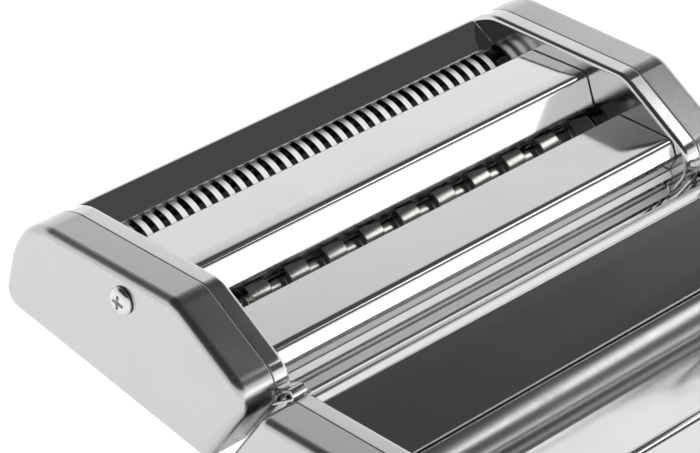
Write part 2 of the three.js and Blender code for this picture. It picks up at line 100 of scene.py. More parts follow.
def falling(tree, value, start, end, **settings):
    """1 up to start, then down to 0 at end."""
    inputs = {"Value": value, "From Min": start, "From Max": end, "To Min": 1.0, "To Max": 0.0}
    return node(tree, "MapRange", inputs, **settings).outputs[0]


# %% The room
WALL_HEADING = 60                    # degrees round from +X: the wall fades most slowly here
WHITE_END = 22.5                     # degrees above the horizon where the white ends
FADE_LOW, FADE_EXTRA = 6, 31         # degrees over which it darkens, and how many more at the wall
FADE_POWER = 1.3
CEILING = 0.045
WINDOW_HEADING, WINDOW_GAIN, WINDOW_POWER = -53, 1.5, 3
SILL_LOW, SILL_HIGH = 4.0, 12.0      # degrees above the horizon where the window's glow dies away
HAZE_HEADING, HAZE_GAIN, HAZE_POWER = -25, 0.04, 2
EVEN_LIGHT = 1.4                     # what every ray meets that is not mirrored

world = bpy.data.worlds.new("studio")
scene.world = world
world.use_nodes = True
world.cycles.sampling_method = "NONE"
room = world.node_tree
room.nodes.clear()
x, y, z = node(room, "SeparateXYZ", {0: node(room, "TexCoord").outputs["Generated"]}).outputs
elevation = sums(room, "DEGREES", sums(room, "ARCSINE", z))
level = sums(room, "SQRT", sums(room, "ADD", sums(room, "MULTIPLY", x, x), sums(room, "MULTIPLY", y, y)))


def towards(heading):
    east, north = math.cos(math.radians(heading)), math.sin(math.radians(heading))
    along = sums(room, "ADD", sums(room, "MULTIPLY", x, east), sums(room, "MULTIPLY", y, north))
    return sums(room, "MAXIMUM", sums(room, "DIVIDE", along, sums(room, "MAXIMUM", level, 0.001)), 0.0)


fade_height = sums(room, "MULTIPLY_ADD", towards(WALL_HEADING), FADE_EXTRA, FADE_LOW)
dark_start = sums(room, "ADD", WHITE_END, fade_height)
fade = falling(room, elevation, WHITE_END, dark_start, interpolation_type="SMOOTHSTEP")
sill = falling(room, elevation, SILL_LOW, SILL_HIGH)
window = sums(room, "MULTIPLY", sums(room, "POWER", towards(WINDOW_HEADING), WINDOW_POWER), sill)
glow = sums(room, "MULTIPLY_ADD", window, WINDOW_GAIN, 1.0)
white = sums(room, "MULTIPLY", sums(room, "POWER", fade, FADE_POWER), glow)
haze = sums(room, "MULTIPLY", sums(room, "POWER", towards(HAZE_HEADING), HAZE_POWER), HAZE_GAIN)
mirrored_room = sums(room, "ADD", sums(room, "ADD", white, haze), CEILING)
seen_by = node(room, "LightPath").outputs
shown = node(room, "Mix", {0: seen_by["Is Glossy Ray"], 2: EVEN_LIGHT, 3: mirrored_room}).outputs[0]
background = node(room, "Background", {"Color": (1, 1, 1, 1), "Strength": shown})
room.links.new(background.outputs[0], node(room, "OutputWorld").inputs["Surface"])

# %% Softboxes and the table
def softbox(name, heading, height, distance, size, radiance):
    lamp = bpy.data.lights.new(name, "AREA")
    lamp.shape = "RECTANGLE"
    lamp.size, lamp.size_y = size
    lamp.energy = radiance * math.pi * size[0] * size[1]
    holder = bpy.data.objects.new(name, lamp)
    heading, height = math.radians(heading), math.radians(height)
    across = math.cos(height)
    away = Vector((across * math.cos(heading), across * math.sin(heading), math.sin(height)))
    facing = away.to_track_quat("Z", "Y").to_matrix().to_4x4()
    holder.matrix_world = Matrix.Translation(away * distance) @ facing
    scene.collection.objects.link(holder)


softbox("strip_light", -27, 47, 1.6, (0.5, 0.2), 1.9)


def table_top():
    bm = bmesh.new()
    bmesh.ops.create_grid(bm, x_segments=1, y_segments=1, size=4)
    mesh = bpy.data.meshes.new("table")
    bm.to_mesh(mesh)
    bm.free()
    table = bpy.data.objects.new("table", mesh)
    scene.collection.objects.link(table)
    paper = bpy.data.materials.new("white_paper")
    paper.use_nodes = True
    shader = paper.node_tree.nodes["Principled BSDF"]
    fibres = node(paper.node_tree, "TexNoise", {"Scale": 60.0, "Detail": 6.0}).outputs[0]
    tone = node(paper.node_tree, "ValToRGB", {0: fibres})
    tone.color_ramp.elements[0].color = (0.90, 0.90, 0.90, 1)
    tone.color_ramp.elements[1].color = (0.94, 0.94, 0.94, 1)
    paper.node_tree.links.new(tone.outputs[0], shader.inputs["Base Color"])
    shader.inputs["Roughness"].default_value = 0.9
    mesh.materials.append(paper)


table_top()

# %% [markdown]
# ## Effects that many finishes share
# Rolled or brushed steel carries fine lines in one direction, hands leave soft marks that change only
# the gloss, and pressed or turned edges are rubbed bright. Each effect is a node group, so it is
# described once and every finish sets its own strength. Image textures could do this too, but noise
# read from the object's own coordinates needs no unwrapping and stays sharp close up.

# %% Node groups: grain, handling marks and rubbed edges
def effect(name, inputs, outputs):
    tree = bpy.data.node_groups.new(name, "ShaderNodeTree")
    for label, kind, value in inputs:
        given = tree.interface.new_socket(label, in_out="INPUT", socket_type="NodeSocket" + kind)
        given.default_value = value
    for label, kind in outputs:
        tree.interface.new_socket(label, in_out="OUTPUT", socket_type="NodeSocket" + kind)
    return tree, tree.nodes.new("NodeGroupInput").outputs, tree.nodes.new("NodeGroupOutput").inputs


def use(tree, group, inputs):
    made = node(tree, "Group")
    made.node_tree = group
    for name, value in inputs.items():
        made.inputs[name].default_value = value
    return made.outputs


def grain_effect():
    tree, given, result = effect("grain_lines", [("Scale", "Vector", (1, 1, 1))], [("Lines", "Float")])
    place = node(tree, "TexCoord").outputs["Object"]
    stretched = node(tree, "VectorMath", {0: place, 1: given["Scale"]}, operation="MULTIPLY").outputs[0]
    lines = node(tree, "TexNoise", {"Vector": stretched, "Scale": 1.0, "Detail": 5.0, "Roughness": 0.7})
    tree.links.new(lines.outputs[0], result["Lines"])
    return tree


def handling_effect():
    tree, given, result = effect("handling_marks", [("Size", "Float", 0.03)],
                                 [("Smear", "Float"), ("Speck", "Float")])
    place = node(tree, "TexCoord").outputs["Object"]
    repeats = sums(tree, "DIVIDE", 1.0, given["Size"])
    clouds = {"Vector": place, "Scale": repeats, "Detail": 3.0, "Distortion": 0.6}
    broad = node(tree, "TexNoise", clouds).outputs[0]
    patches = node(tree, "MapRange", {"Value": broad, "From Min": 0.45, "From Max": 0.7}).outputs[0]
    ridges = node(tree, "TexNoise", {"Vector": place, "Scale": 900.0, "Detail": 2.0}).outputs[0]
    smear = sums(tree, "MULTIPLY", patches, sums(tree, "MULTIPLY_ADD", ridges, 0.8, 0.4))
    tree.links.new(smear, result["Smear"])
    cells = node(tree, "TexVoronoi", {"Vector": place, "Scale": 260.0}).outputs["Distance"]
    rare = node(tree, "TexNoise", {"Vector": place, "Scale": 70.0, "Detail": 1.0}).outputs[0]
    dots = falling(tree, cells, 0.06, 0.1)
    few = node(tree, "MapRange", {"Value": rare, "From Min": 0.6, "From Max": 0.66}).outputs[0]
    tree.links.new(sums(tree, "MULTIPLY", dots, few), result["Speck"])
    return tree


def edge_effect():
    tree, given, result = effect("rubbed_edges", [("Radius", "Float", 0.0004)],
                                 [("Rubbed", "Float"), ("Normal", "Vector")])
    eased = node(tree, "Bevel", {"Radius": given["Radius"]}, samples=4).outputs[0]
    true = node(tree, "NewGeometry").outputs["Normal"]
    agreement = node(tree, "VectorMath", {0: eased, 1: true}, operation="DOT_PRODUCT").outputs["Value"]
    place = node(tree, "TexCoord").outputs["Object"]
    patchy = node(tree, "TexNoise", {"Vector": place, "Scale": 500.0, "Detail": 3.0}).outputs[0]
    near = node(tree, "MapRange", {"Value": agreement, "From Min": 0.99, "From Max": 0.8}).outputs[0]
    tree.links.new(sums(tree, "MULTIPLY", near, patchy), result["Rubbed"])
    tree.links.new(eased, result["Normal"])
    return tree


GRAIN, MARKS, EDGES = grain_effect(), handling_effect(), edge_effect()
print("effects:", GRAIN.name, MARKS.name, EDGES.name)

# %% A finish made of the three effects
SMEAR_GLOSS, MARK_SIZE = 0.06, 0.03
DULLED = 0.86                        # how much of its tone a marked place keeps
LINE_HEIGHT = 0.0002
# Colour and strength of the shade painted into crevices
PAINTED_SHADE_TONE, PAINTED_SHADE_POWER = (0.02, 0.02, 0.02, 1), 0.7


def finish(name, tone, rough, grain, grain_gloss, grain_depth, metal=1.0, edge=0.0003, rubbed=1.25):
    material = bpy.data.materials.new(name)
    material.use_nodes = True
    tree = material.node_tree
    shader = tree.nodes["Principled BSDF"]
    lines = use(tree, GRAIN, {"Scale": grain})["Lines"]
    marks = use(tree, MARKS, {"Size": MARK_SIZE})
    edges = use(tree, EDGES, {"Radius": edge})
    lit = [min(channel * rubbed, 1) for channel in tone]
    worn = node(tree, "Mix", {0: edges["Rubbed"], 6: (*tone, 1), 7: (*lit, 1)}, data_type="RGBA").outputs[2]
    dull = [channel * DULLED for channel in tone]
    amount = sums(tree, "MULTIPLY_ADD", marks["Speck"], 0.2, sums(tree, "MULTIPLY", marks["Smear"], 0.25))
    colour = node(tree, "Mix", {0: amount, 6: worn, 7: (*dull, 1)}, data_type="RGBA").outputs[2]
    tree.links.new(colour, shader.inputs["Base Color"])
    gloss = sums(tree, "MULTIPLY_ADD", lines, grain_gloss, rough - grain_gloss / 2)
    gloss = sums(tree, "MULTIPLY_ADD", marks["Smear"], SMEAR_GLOSS, gloss)
    tree.links.new(sums(tree, "MAXIMUM", gloss, 0.02), shader.inputs["Roughness"])
    relief = {"Height": lines, "Normal": edges["Normal"], "Strength": grain_depth, "Distance": LINE_HEIGHT}
    tree.links.new(node(tree, "Bump", relief).outputs[0], shader.inputs["Normal"])
    shader.inputs["Metallic"].default_value = metal
    return material


def paint_shade_in_crevices(material, reach):
    """Painted shade: the more of its surroundings within reach are solid, the darker the surface's colour is
    painted.
    """
    tree = material.node_tree
    shader = tree.nodes["Principled BSDF"]
    link = shader.inputs["Base Color"].links[0]
    open_air = node(tree, "AmbientOcclusion", {"Distance": reach}, only_local=False).outputs["AO"]
    amount = sums(tree, "POWER", open_air, PAINTED_SHADE_POWER)
    inputs = {0: amount, 6: PAINTED_SHADE_TONE, 7: link.from_socket}
    colour = node(tree, "Mix", inputs, data_type="RGBA").outputs[2]
    tree.links.new(colour, shader.inputs["Base Color"])


# %% [markdown]
# ## The finishes
# The guides and shells are bright rolled sheet with lines along the machine. The end covers are a
# greyer satin that blurs what they mirror. Rollers are ground or milled on a lathe, so their lines run
# round them and change only along X. A single steel for all of it would be quicker, but the eye tells
# the pieces apart by how sharply each one mirrors the room.

# %% Steel, bronze, plastic, rubber and enamel
PAINTED_SHADE_REACH = 0.006                 # metres: how far a disc rim looks for neighbours that paint shade on it
ROUND_X = (2600, 60, 60)             # lines round a turned piece: quick changes along X only
ALONG_X = (26, 1500, 1500)           # lines along the machine
ACROSS_FACE = (400, 90, 1900)        # level lines on an end face

BRIGHT_SHEET = finish("bright_sheet", (0.72, 0.72, 0.722), 0.08, ALONG_X, 0.05, 0.01)
PLATED = finish("plated_steel", (0.70, 0.70, 0.70), 0.13, ACROSS_FACE, 0.05, 0.02, edge=0.0004)
SATIN = finish("satin_sheet", (0.53, 0.53, 0.525), 0.24, ACROSS_FACE, 0.08, 0.02, edge=0.0004)
GROUND = finish("ground_steel", (0.68, 0.675, 0.665), 0.2, ROUND_X, 0.06, 0.04)
MILLED = finish("milled_steel", (0.62, 0.61, 0.59), 0.13, ROUND_X, 0.08, 0.06)
# Spaghetti disc rims: a near-white, almost matt material that paints their highlight on instead of mirroring
# the light, with painted shade added below
RIM_PAINTED_LIGHT = finish("rim_painted_highlight_and_shade", (0.92, 0.92, 0.91), 0.34, ROUND_X, 0.08, 0.04, metal=0.1, rubbed=1.05)
# Paler, almost matt sheet for the upward faces of the front guide's lip: painted light
LIP_PAINTED_LIGHT = finish("lip_faces_painted_light", (0.88, 0.88, 0.90), 0.3, ALONG_X, 0.05, 0.01, metal=0.2, rubbed=1.05)
TURNED = finish("turned_steel", (0.66, 0.66, 0.655), 0.2, ROUND_X, 0.08, 0.05)
BRONZE = finish("sintered_bronze", (0.48, 0.33, 0.15), 0.36, (1500, 1500, 1500), 0.15, 0.15)
BLACK = finish("black_moulding", (0.018, 0.018, 0.019), 0.38, (2200, 2200, 2200), 0.12, 0.12, metal=0.0,
               rubbed=2.2)
RUBBER = finish("foot_rubber", (0.022, 0.022, 0.023), 0.78, (900, 900, 900), 0.2, 0.3, metal=0.0, rubbed=1.8)
ENAMEL = finish("white_enamel", (0.78, 0.78, 0.76), 0.3, (300, 300, 300), 0.05, 0.03, metal=0.0, rubbed=1.05)
INK = finish("black_ink", (0.02, 0.02, 0.02), 0.5, (900, 900, 900), 0.1, 0.02, metal=0.0, rubbed=1.5)
# Painted shade on the disc rims, darker where the guide and the next discs are close
paint_shade_in_crevices(RIM_PAINTED_LIGHT, PAINTED_SHADE_REACH)
print("finishes:", len(bpy.data.materials))

# %% [markdown]
# ## The machine's own frame
# The pieces are easier to draw in millimetres from the middle of the machine: X along the rollers,
# Y = 0 at the nip between the smooth rollers, Z up from the table. One matrix carries every finished
# mesh from there to its place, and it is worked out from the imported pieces.

# %% Millimetres from the nip, and back to metres
def middle(name):
    low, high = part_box(name)
    return (Vector(low) + Vector(high)) / 2


NIP = Vector((middle("rear_guide").x, (middle("fixed_roller").y + middle("adjustable_roller").y) / 2, 0))
TO_PLACE = Matrix.Translation(NIP) @ Matrix.Scale(0.001, 4)
print("nip in the packed frame:", [round(value, 5) for value in NIP])

# %% From a bmesh to a piece that rides on its body
SMOOTH_BELOW = math.radians(32)


def piece(name, bm, body, nodes, material):
    bm.transform(TO_PLACE)
    mesh = bpy.data.meshes.new(name)
    bm.to_mesh(mesh)
    bm.free()
    mesh.materials.append(material)
    mesh.shade_smooth()
    mesh.set_sharp_from_angle(angle=SMOOTH_BELOW)
    made = bpy.data.objects.new(name, mesh)
    scene.collection.objects.link(made)
    flats = made.modifiers.new("true_flats", "WEIGHTED_NORMAL")
    flats.keep_sharp = True
    flats.weight = 90
    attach(made, body)
    if nodes:
        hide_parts(*nodes)
    print(f"{name}: {len(mesh.polygons)} faces on {body}")
    return made


# %% [markdown]
# ## Tools for pressed, bent and turned work
# A pressed part starts as a flat outline that is drawn out, rounded and hollowed. A bent sheet starts
# as a folded line. A turned part is half a profile spun round its axis. Holes are cut last with a
# Boolean, as a punch would. Each tool works on a bmesh, so the steps stay editable until the end.

# %% Modifiers and cutters applied to a bmesh
def loose_object(bm):
    mesh = bpy.data.meshes.new("blank")
    bm.to_mesh(mesh)
    bm.free()
    blank = bpy.data.objects.new("blank", mesh)
    scene.collection.objects.link(blank)
    return blank


def throw_away(blank):
    mesh = blank.data
    bpy.data.objects.remove(blank)
    bpy.data.meshes.remove(mesh)


def worked(bm, kind, **settings):
    blank = loose_object(bm)
    step = blank.modifiers.new(kind, kind)
    for name, value in settings.items():
        setattr(step, name, value)
    done = bmesh.new()
    evaluated = blank.evaluated_get(bpy.context.evaluated_depsgraph_get())
    done.from_mesh(evaluated.to_mesh())
    evaluated.to_mesh_clear()
    throw_away(blank)
    return done


def carved(bm, tool, operation="DIFFERENCE"):
    cutter = loose_object(tool)
    done = worked(bm, "BOOLEAN", operation=operation, object=cutter, solver="EXACT")
    throw_away(cutter)
    bmesh.ops.remove_doubles(done, verts=done.verts, dist=1e-4)
    return done


def rounded(bm, edges, offset, segments):
    bmesh.ops.bevel(bm, geom=edges, offset=offset, offset_type="OFFSET", segments=segments, profile=0.5,
                    affect="EDGES", material=-1, clamp_overlap=True)


def sharp_edges(bm, above=50):
    return [e for e in bm.edges if len(e.link_faces) == 2 and e.calc_face_angle(0) > math.radians(above)]


# %% Outlines drawn out along X
NEAR = 1e-4                          # millimetres: closer than this is the same place


def edges_at(bm, x):
    return [e for e in bm.edges if all(abs(v.co.x - x) < NEAR for v in e.verts)]


def edges_along(bm, y, z):
    return [e for e in bm.edges if all((v.co.yz - Vector((y, z))).length < NEAR for v in e.verts)]


def draw_out(bm, grown, distance):
    fresh = [v for v in grown if isinstance(v, bmesh.types.BMVert)]
    bmesh.ops.translate(bm, verts=fresh, vec=(distance, 0, 0))


def prism(corners, start, end, arc=8):
    bm = bmesh.new()
    face = bm.faces.new([bm.verts.new((start, y, z)) for y, z, _ in corners])
    draw_out(bm, bmesh.ops.extrude_face_region(bm, geom=[face])["geom"], end - start)
    for i, (y, z, radius) in enumerate(corners):
        if not radius:
            continue
        here = Vector((y, z))
        before, after = Vector(corners[i - 1][:2]), Vector(corners[(i + 1) % len(corners)][:2])
        half = (before - here).angle(after - here) / 2
        rounded(bm, edges_along(bm, y, z), radius / math.tan(half), arc)
    bmesh.ops.recalc_face_normals(bm, faces=bm.faces)
    return bm


def cylinders(holes, start, end, segments=32):
    bm = bmesh.new()
    for y, z, radius in holes:
        place = Matrix.Translation(((start + end) / 2, y, z)) @ Matrix.Rotation(math.pi / 2, 4, "Y")
        bmesh.ops.create_cone(bm, cap_ends=True, segments=segments, radius1=radius, radius2=radius,
                              depth=end - start, matrix=place)
    return bm


def block(low, high):
    bm = bmesh.new()
    size = [b - a for a, b in zip(low, high)]
    centre = [(a + b) / 2 for a, b in zip(low, high)]
    bmesh.ops.create_cube(bm, size=1, matrix=Matrix.Translation(centre) @ Matrix.Diagonal((*size, 1)))
    return bm


def pressed(corners, start, end, bend, wall, holes=()):
    """A tray whose closed face is at end and whose mouth is at start."""
    bm = prism(corners, start, end)
    rounded(bm, edges_at(bm, end), bend, 6)
    mouth = [f for f in bm.faces if all(abs(v.co.x - start) < NEAR for v in f.verts)]
    bmesh.ops.delete(bm, geom=mouth, context="FACES_ONLY")
    bm = worked(bm, "SOLIDIFY", thickness=wall, offset=-1, use_even_offset=True)
    if holes:
        reach = (end - start) * 2
        bm = carved(bm, cylinders(holes, min(start, end) - abs(reach), max(start, end) + abs(reach)))
    return bm


# %% Folded sheets and spun profiles
def bent_sheet(path, start, end, bend=1.2, thickness=0.8):
    """Points of the path are (y, z), or (y, z, length of the fold) where a fold is wider than bend."""
    bm = bmesh.new()
    line = [bm.verts.new((start, y, z)) for y, z, *_ in path]
    edges = [bm.edges.new(pair) for pair in zip(line, line[1:])]
    draw_out(bm, bmesh.ops.extrude_edge_only(bm, edges=edges)["geom"], end - start)
    for y, z, *fold in path[1:-1]:
        rounded(bm, edges_along(bm, y, z), fold[0] if fold else bend, 8)
    bm = worked(bm, "SOLIDIFY", thickness=thickness, offset=0, use_even_offset=True)
    bmesh.ops.recalc_face_normals(bm, faces=bm.faces)
    rounded(bm, sharp_edges(bm), thickness * 0.22, 2)
    return bm


def two_finishes(bm, second):
    """second says of a face's centre and normal whether it takes the piece's second material."""
    for face in bm.faces:
        face.material_index = int(second(face.calc_center_median(), face.normal))


def spun(profile, y, z, segments=64, ease=0.25):
    """Profile points are (x, radius); the ends close on the axis."""
    bm = bmesh.new()
    points = [(profile[0][0], 0), *profile, (profile[-1][0], 0)]
    line = [bm.verts.new((x, y, z + radius)) for x, radius in points]
    edges = [bm.edges.new(pair) for pair in zip(line, line[1:])]
    bmesh.ops.spin(bm, geom=line + edges, cent=(0, y, z), axis=(1, 0, 0), angle=2 * math.pi, steps=segments,
                   use_merge=True)
    bmesh.ops.remove_doubles(bm, verts=bm.verts, dist=1e-4)
    bmesh.ops.recalc_face_normals(bm, faces=bm.faces)
    if ease:
        rounded(bm, sharp_edges(bm), ease, 2)
    return bm


# %% [markdown]
# ## The end covers and the pans behind them
# Each end of the cutter head and of the body is a shallow pressed cover over a pressed pan, with a dark
# seam between. The press leaves a soft rim round each face, and that rim draws the bright line along
# the edge. A box with a Bevel modifier would do for one of them. Drawing the outline out, rounding it
# and giving it a wall keeps the same few steps for all eight.

# %% Outlines and planes, in millimetres
WEB, PAN_EDGE, COVER_EDGE, FACE = 71.2, 76.2, 76.6, 87.6
SHEET_END = 70.9
SMOOTH_Y, SMOOTH_Z = 14.2, 99.0
HEAD_ROD = (82.2, 133.7)
TIE_RODS = ((24, 73.5), (-24, 73.5))
CAM_SHAFT = (-37.1, 92.0)
SPAGHETTI = ((112.5, 121.6), (96.5, 121.6))
FETTUCCINE = ((77.6, 118.3), (61.6, 118.3))
SIDES = (("left", -1), ("right", 1))

HEAD_OUTLINE = [(53.9, 100.6, 5), (129.3, 112.9, 5.5), (124.6, 130, 20), (117.5, 141, 14), (64.3, 141, 7),
                (37.8, 124.3, 7.5)]
BODY_SLOPE = [(52.91, 96, 5), (34.91, 122.5, 3)]


def both_slopes(half):
    return half + [(-y, z, r) for y, z, r in reversed(half)]


COVER_OUTLINE = both_slopes([(44, 66, 8), *BODY_SLOPE])
FRAME_OUTLINE = both_slopes([(56, 12.3, 3), (43, 60, 12), *BODY_SLOPE])

# %% Covers
COVER_RIM, PAN_RIM = 2.7, 1.3
SCREW_HOLE = 1.8
sockets = [(*SPAGHETTI[0], 6.2), (*FETTUCCINE[1], 6.2)]
head_holes = {"left": [(*HEAD_ROD, SCREW_HOLE)], "right": [(*HEAD_ROD, SCREW_HOLE), *sockets]}
rod_holes = [(*rod, SCREW_HOLE) for rod in TIE_RODS]
body_holes = {"left": [*rod_holes, (*CAM_SHAFT, 3.5)], "right": [*rod_holes, (SMOOTH_Y, SMOOTH_Z, 8)]}
for name, side in SIDES:
    shell = pressed(HEAD_OUTLINE, side * COVER_EDGE, side * FACE, COVER_RIM, 1, head_holes[name])
    piece(f"head_end_cover_{name}", shell, "cutter_head", [f"head_cover_{name}"], SATIN)
    shell = pressed(COVER_OUTLINE, side * COVER_EDGE, side * FACE, COVER_RIM, 1, body_holes[name])
    piece(f"body_end_cover_{name}", shell, "frame", [f"body_cover_{name}"], SATIN)

# %% Pans
journals = [(y, z, 5.5) for y, z in SPAGHETTI + FETTUCCINE]
for name, side in SIDES:
    pan = pressed(HEAD_OUTLINE, side * PAN_EDGE, side * WEB, PAN_RIM, 1.2, [*journals, (*HEAD_ROD, 1.7)])
    piece(f"head_pan_{name}", pan, "cutter_head", [f"head_frame_{name}"], PLATED)
    bush = 10.3 if side > 0 else 8.3
    holes = [(SMOOTH_Y, SMOOTH_Z, bush), (*CAM_SHAFT, 3.3), *[(*rod, 2.3) for rod in TIE_RODS]]
    pan = pressed(FRAME_OUTLINE, side * PAN_EDGE, side * WEB, PAN_RIM, 1.2, holes)
    slot = block((-FACE, -SMOOTH_Y - 7.9, SMOOTH_Z - 5.3), (FACE, -SMOOTH_Y + 5.3, SMOOTH_Z + 5.3))
    piece(f"body_pan_{name}", carved(pan, slot), "frame", [f"side_frame_{name}"], PLATED)

# %% [markdown]
# ## Guides and shells
# The dough slides over bent sheets. Each is one strip, folded along the machine, and its cut edges stay
# visible, so it needs a real thickness and edges that are just broken. A strip of a few points is drawn
# out, its folds are rounded, and a Solidify step gives it its gauge.

# %% Bent sheets
GUIDES = {
    "rear_guide": [(110.6, 132.6), (119.2, 137.2, 1.2), (122.9, 130.2), (126.8, 114.8)],
    "centre_guide": [(98.2, 133.5), (96.9, 136), (80.6, 136.6, 1.6), (77.2, 136.5, 1.3), (74.2, 128.3)],
    "front_guide": [(65.1, 128.7), (46.9, 128.5, 1.3), (45.2, 124.1), (47.4, 119.8),
                    (45.9, 117.7), (47.6, 114.8), (46.2, 112.4), (47.7, 109)],
}
LIP_TOP, FACES_UP = 123.6, 0.3


# Faces of the front guide's lip that face upwards take the paler material, so light is painted on the lip's
# upper faces
def painted_light_lip_faces(centre, normal):
    return centre.z < LIP_TOP and normal.z > FACES_UP


for name, path in GUIDES.items():
    strip = bent_sheet(path, -SHEET_END, SHEET_END, bend=0.7)
    if name == "front_guide":
        two_finishes(strip, painted_light_lip_faces)
    sheet = piece(f"{name}_sheet", strip, "cutter_head", [name], BRIGHT_SHEET)
    if name == "front_guide":
        sheet.data.materials.append(LIP_PAINTED_LIGHT)

SHELL = [(9.2, 113.2), (21, 116.6, 8), (32.4, 119.5), (33.6, 121.6), (35, 120.8), (51.91, 96), (43.2, 66)]
for name, end in (("rear", 1), ("front", -1)):
    strip = bent_sheet([(end * y, z, *fold) for y, z, *fold in SHELL], -SHEET_END, SHEET_END, bend=0.5)
    piece(f"{name}_deck_sheet", strip, "frame", [f"{name}_shell"], BRIGHT_SHEET)

# %% [markdown]
# ## Rollers
# The smooth pair is ground steel with a soft gloss. Each cutting roller is a row of discs that mesh with
# the next roller's grooves, and the corners of the discs are just broken so that they cut dough and
# not fingers. All four kinds are one profile spun round an axis.

# %% Smooth rollers
ROLLER, JOURNAL, DRIVE = 14, 5, 7
GEAR_END = 85.5
SOCKET_MOUTH, SOCKET_DEPTH, SOCKET_RADIUS = 86, 20, 4


def hex_socket(bm, y, z):
    tool = cylinders([(y, z, SOCKET_RADIUS)], SOCKET_MOUTH - SOCKET_DEPTH, SOCKET_MOUTH + 1, segments=6)
    return carved(bm, tool)


fixed = spun([(-PAN_EDGE - 1, JOURNAL), (-SHEET_END, JOURNAL), (-SHEET_END, ROLLER), (SHEET_END, ROLLER),
              (SHEET_END, DRIVE), (SOCKET_MOUTH, DRIVE)], SMOOTH_Y, SMOOTH_Z, 96, 0.4)
piece("smooth_roller_rear", hex_socket(fixed, SMOOTH_Y, SMOOTH_Z), "fixed_roller", ["fixed_roller"],
      GROUND)
moving = spun([(-PAN_EDGE - 3, JOURNAL), (-SHEET_END, JOURNAL), (-SHEET_END, ROLLER), (SHEET_END, ROLLER),
               (SHEET_END, JOURNAL), (GEAR_END, JOURNAL)], -SMOOTH_Y, SMOOTH_Z, 96, 0.4)
piece("smooth_roller_front", moving, "adjustable_roller", ["adjustable_roller"], GROUND)

# %% Cutting rollers
DISC_RADIUS, CORE_RADIUS, CUTTER_JOURNAL = 9, 6.4, 5.2
RIM_FROM = DISC_RADIUS - 0.15        # faces further out than this are the discs' rims


def cutting_roller(axis, width, first, count, end):
    profile = [(-PAN_EDGE - 1, CUTTER_JOURNAL), (-SHEET_END, CUTTER_JOURNAL), (-SHEET_END, CORE_RADIUS)]
    for i in range(count):
        x = first + 2 * width * i
        profile += [(x, CORE_RADIUS), (x, DISC_RADIUS), (x + width, DISC_RADIUS), (x + width, CORE_RADIUS)]
    profile += [(SHEET_END, CORE_RADIUS), (SHEET_END, CUTTER_JOURNAL), (end, CUTTER_JOURNAL)]
    return spun(profile, *axis, 64, 0.22)


cutters = [("spaghetti", "rear", SPAGHETTI[0], 2, -70, 35, SOCKET_MOUTH),
           ("spaghetti", "front", SPAGHETTI[1], 2, -68, 35, 78.9),
           ("fettuccine", "rear", FETTUCCINE[0], 6.5, -68.25, 11, 85.1),
           ("fettuccine", "front", FETTUCCINE[1], 6.5, -61.75, 10, SOCKET_MOUTH)]
for kind, end, axis, width, first, count, reach in cutters:
    roller = cutting_roller(axis, width, first, count, reach)
    if reach == SOCKET_MOUTH:
        roller = hex_socket(roller, *axis)
    # The spaghetti discs' rims take the painted-highlight material; their cores and flanks stay milled steel
    if kind == "spaghetti":
        two_finishes(roller, lambda centre, normal: math.dist(centre.yz, axis) > RIM_FROM)
    made = piece(f"{kind}_cutter_{end}", roller, f"{kind}_{end}", [f"{kind}_{end}_roller"],
                 MILLED)
    if kind == "spaghetti":
        made.data.materials.append(RIM_PAINTED_LIGHT)

# %% [markdown]
# ## Screws, rods and the small turned parts
# A pan-head screw with a cross recess holds each cover to a rod that ties both ends together. The head
# is spun, and the recess is cut with two tapered blades, as the punch that makes it.

# %% Screws and tie rods
def cross_blade(y, z, outside, turned_by):
    length, width, depth = 4.4, 1.05, 1.5
    blade = block((-depth / 2, -length / 2, -width / 2), (depth / 2, length / 2, width / 2))
    inner = [v for v in blade.verts if v.co.x < 0]
    bmesh.ops.scale(blade, verts=inner, vec=(1, 0.35, 0.6))
    place = Matrix.Translation((outside - depth / 2 + 0.05, y, z))
    blade.transform(place @ Matrix.Rotation(turned_by, 4, "X"))
    return blade


def cover_screw(y, z, side, turned_by):
    profile = [(75, 1.5), (FACE + 0.3, 1.5), (FACE + 0.3, 3.7), (FACE + 0.75, 3.7), (FACE + 1.2, 3.4),
               (FACE + 1.55, 2.8), (FACE + 1.75, 1.9), (FACE + 1.8, 0.7)]
    bm = spun(profile, y, z, 48, 0)
    for quarter in (0, math.pi / 2):
        bm = carved(bm, cross_blade(y, z, FACE + 1.8, turned_by + quarter))
    if side < 0:
        bm.transform(Matrix.Translation((0, 2 * y, 0)) @ Matrix.Rotation(math.pi, 4, "Z"))
    return bm


screws = [("head_screw", HEAD_ROD, "cutter_head", 0.15), ("body_screw_rear", TIE_RODS[0], "frame", 0.6),
          ("body_screw_front", TIE_RODS[1], "frame", 1.0)]
for label, (y, z), body, turned_by in screws:
    for name, side in SIDES:
        piece(f"{label}_{name}_pan_head", cover_screw(y, z, side, turned_by + side * 0.3), body,
              [f"{label}_{name}"], TURNED)


def tie_rod(y, z, radius, neck, nut):
    wall, end = WEB + 1.5, WEB - 0.3
    half = [(wall + 2, nut), (wall, nut), (wall, neck), (end, neck), (end, radius)]
    return spun([(-x, r) for x, r in half] + half[::-1], y, z, 32, 0.2)


piece("head_rod", tie_rod(*HEAD_ROD, 1.9, 1.4, 2.2), "cutter_head", ["head_tie_rod"], TURNED)
for name, (y, z) in zip(("rear", "front"), TIE_RODS):
    piece(f"body_rod_{name}", tie_rod(y, z, 3, 2, 3.4), "frame", [f"tie_rod_{name}"], TURNED)

# %% [markdown]
# ## Base and feet
# The machine stands on a tray pressed from thick plate, on four rubber feet. A slot near the front takes
# the arm of a table clamp. The tray is the same tool as the covers, turned to open downwards.

# %% Base tray
X_TO_Z = Matrix(((0, 1, 0, 0), (0, 0, 1, 0), (1, 0, 0, 0), (0, 0, 0, 1)))
BASE_X, BASE_Y, BASE_TOP, SKIRT = 84, 68, 12, 3


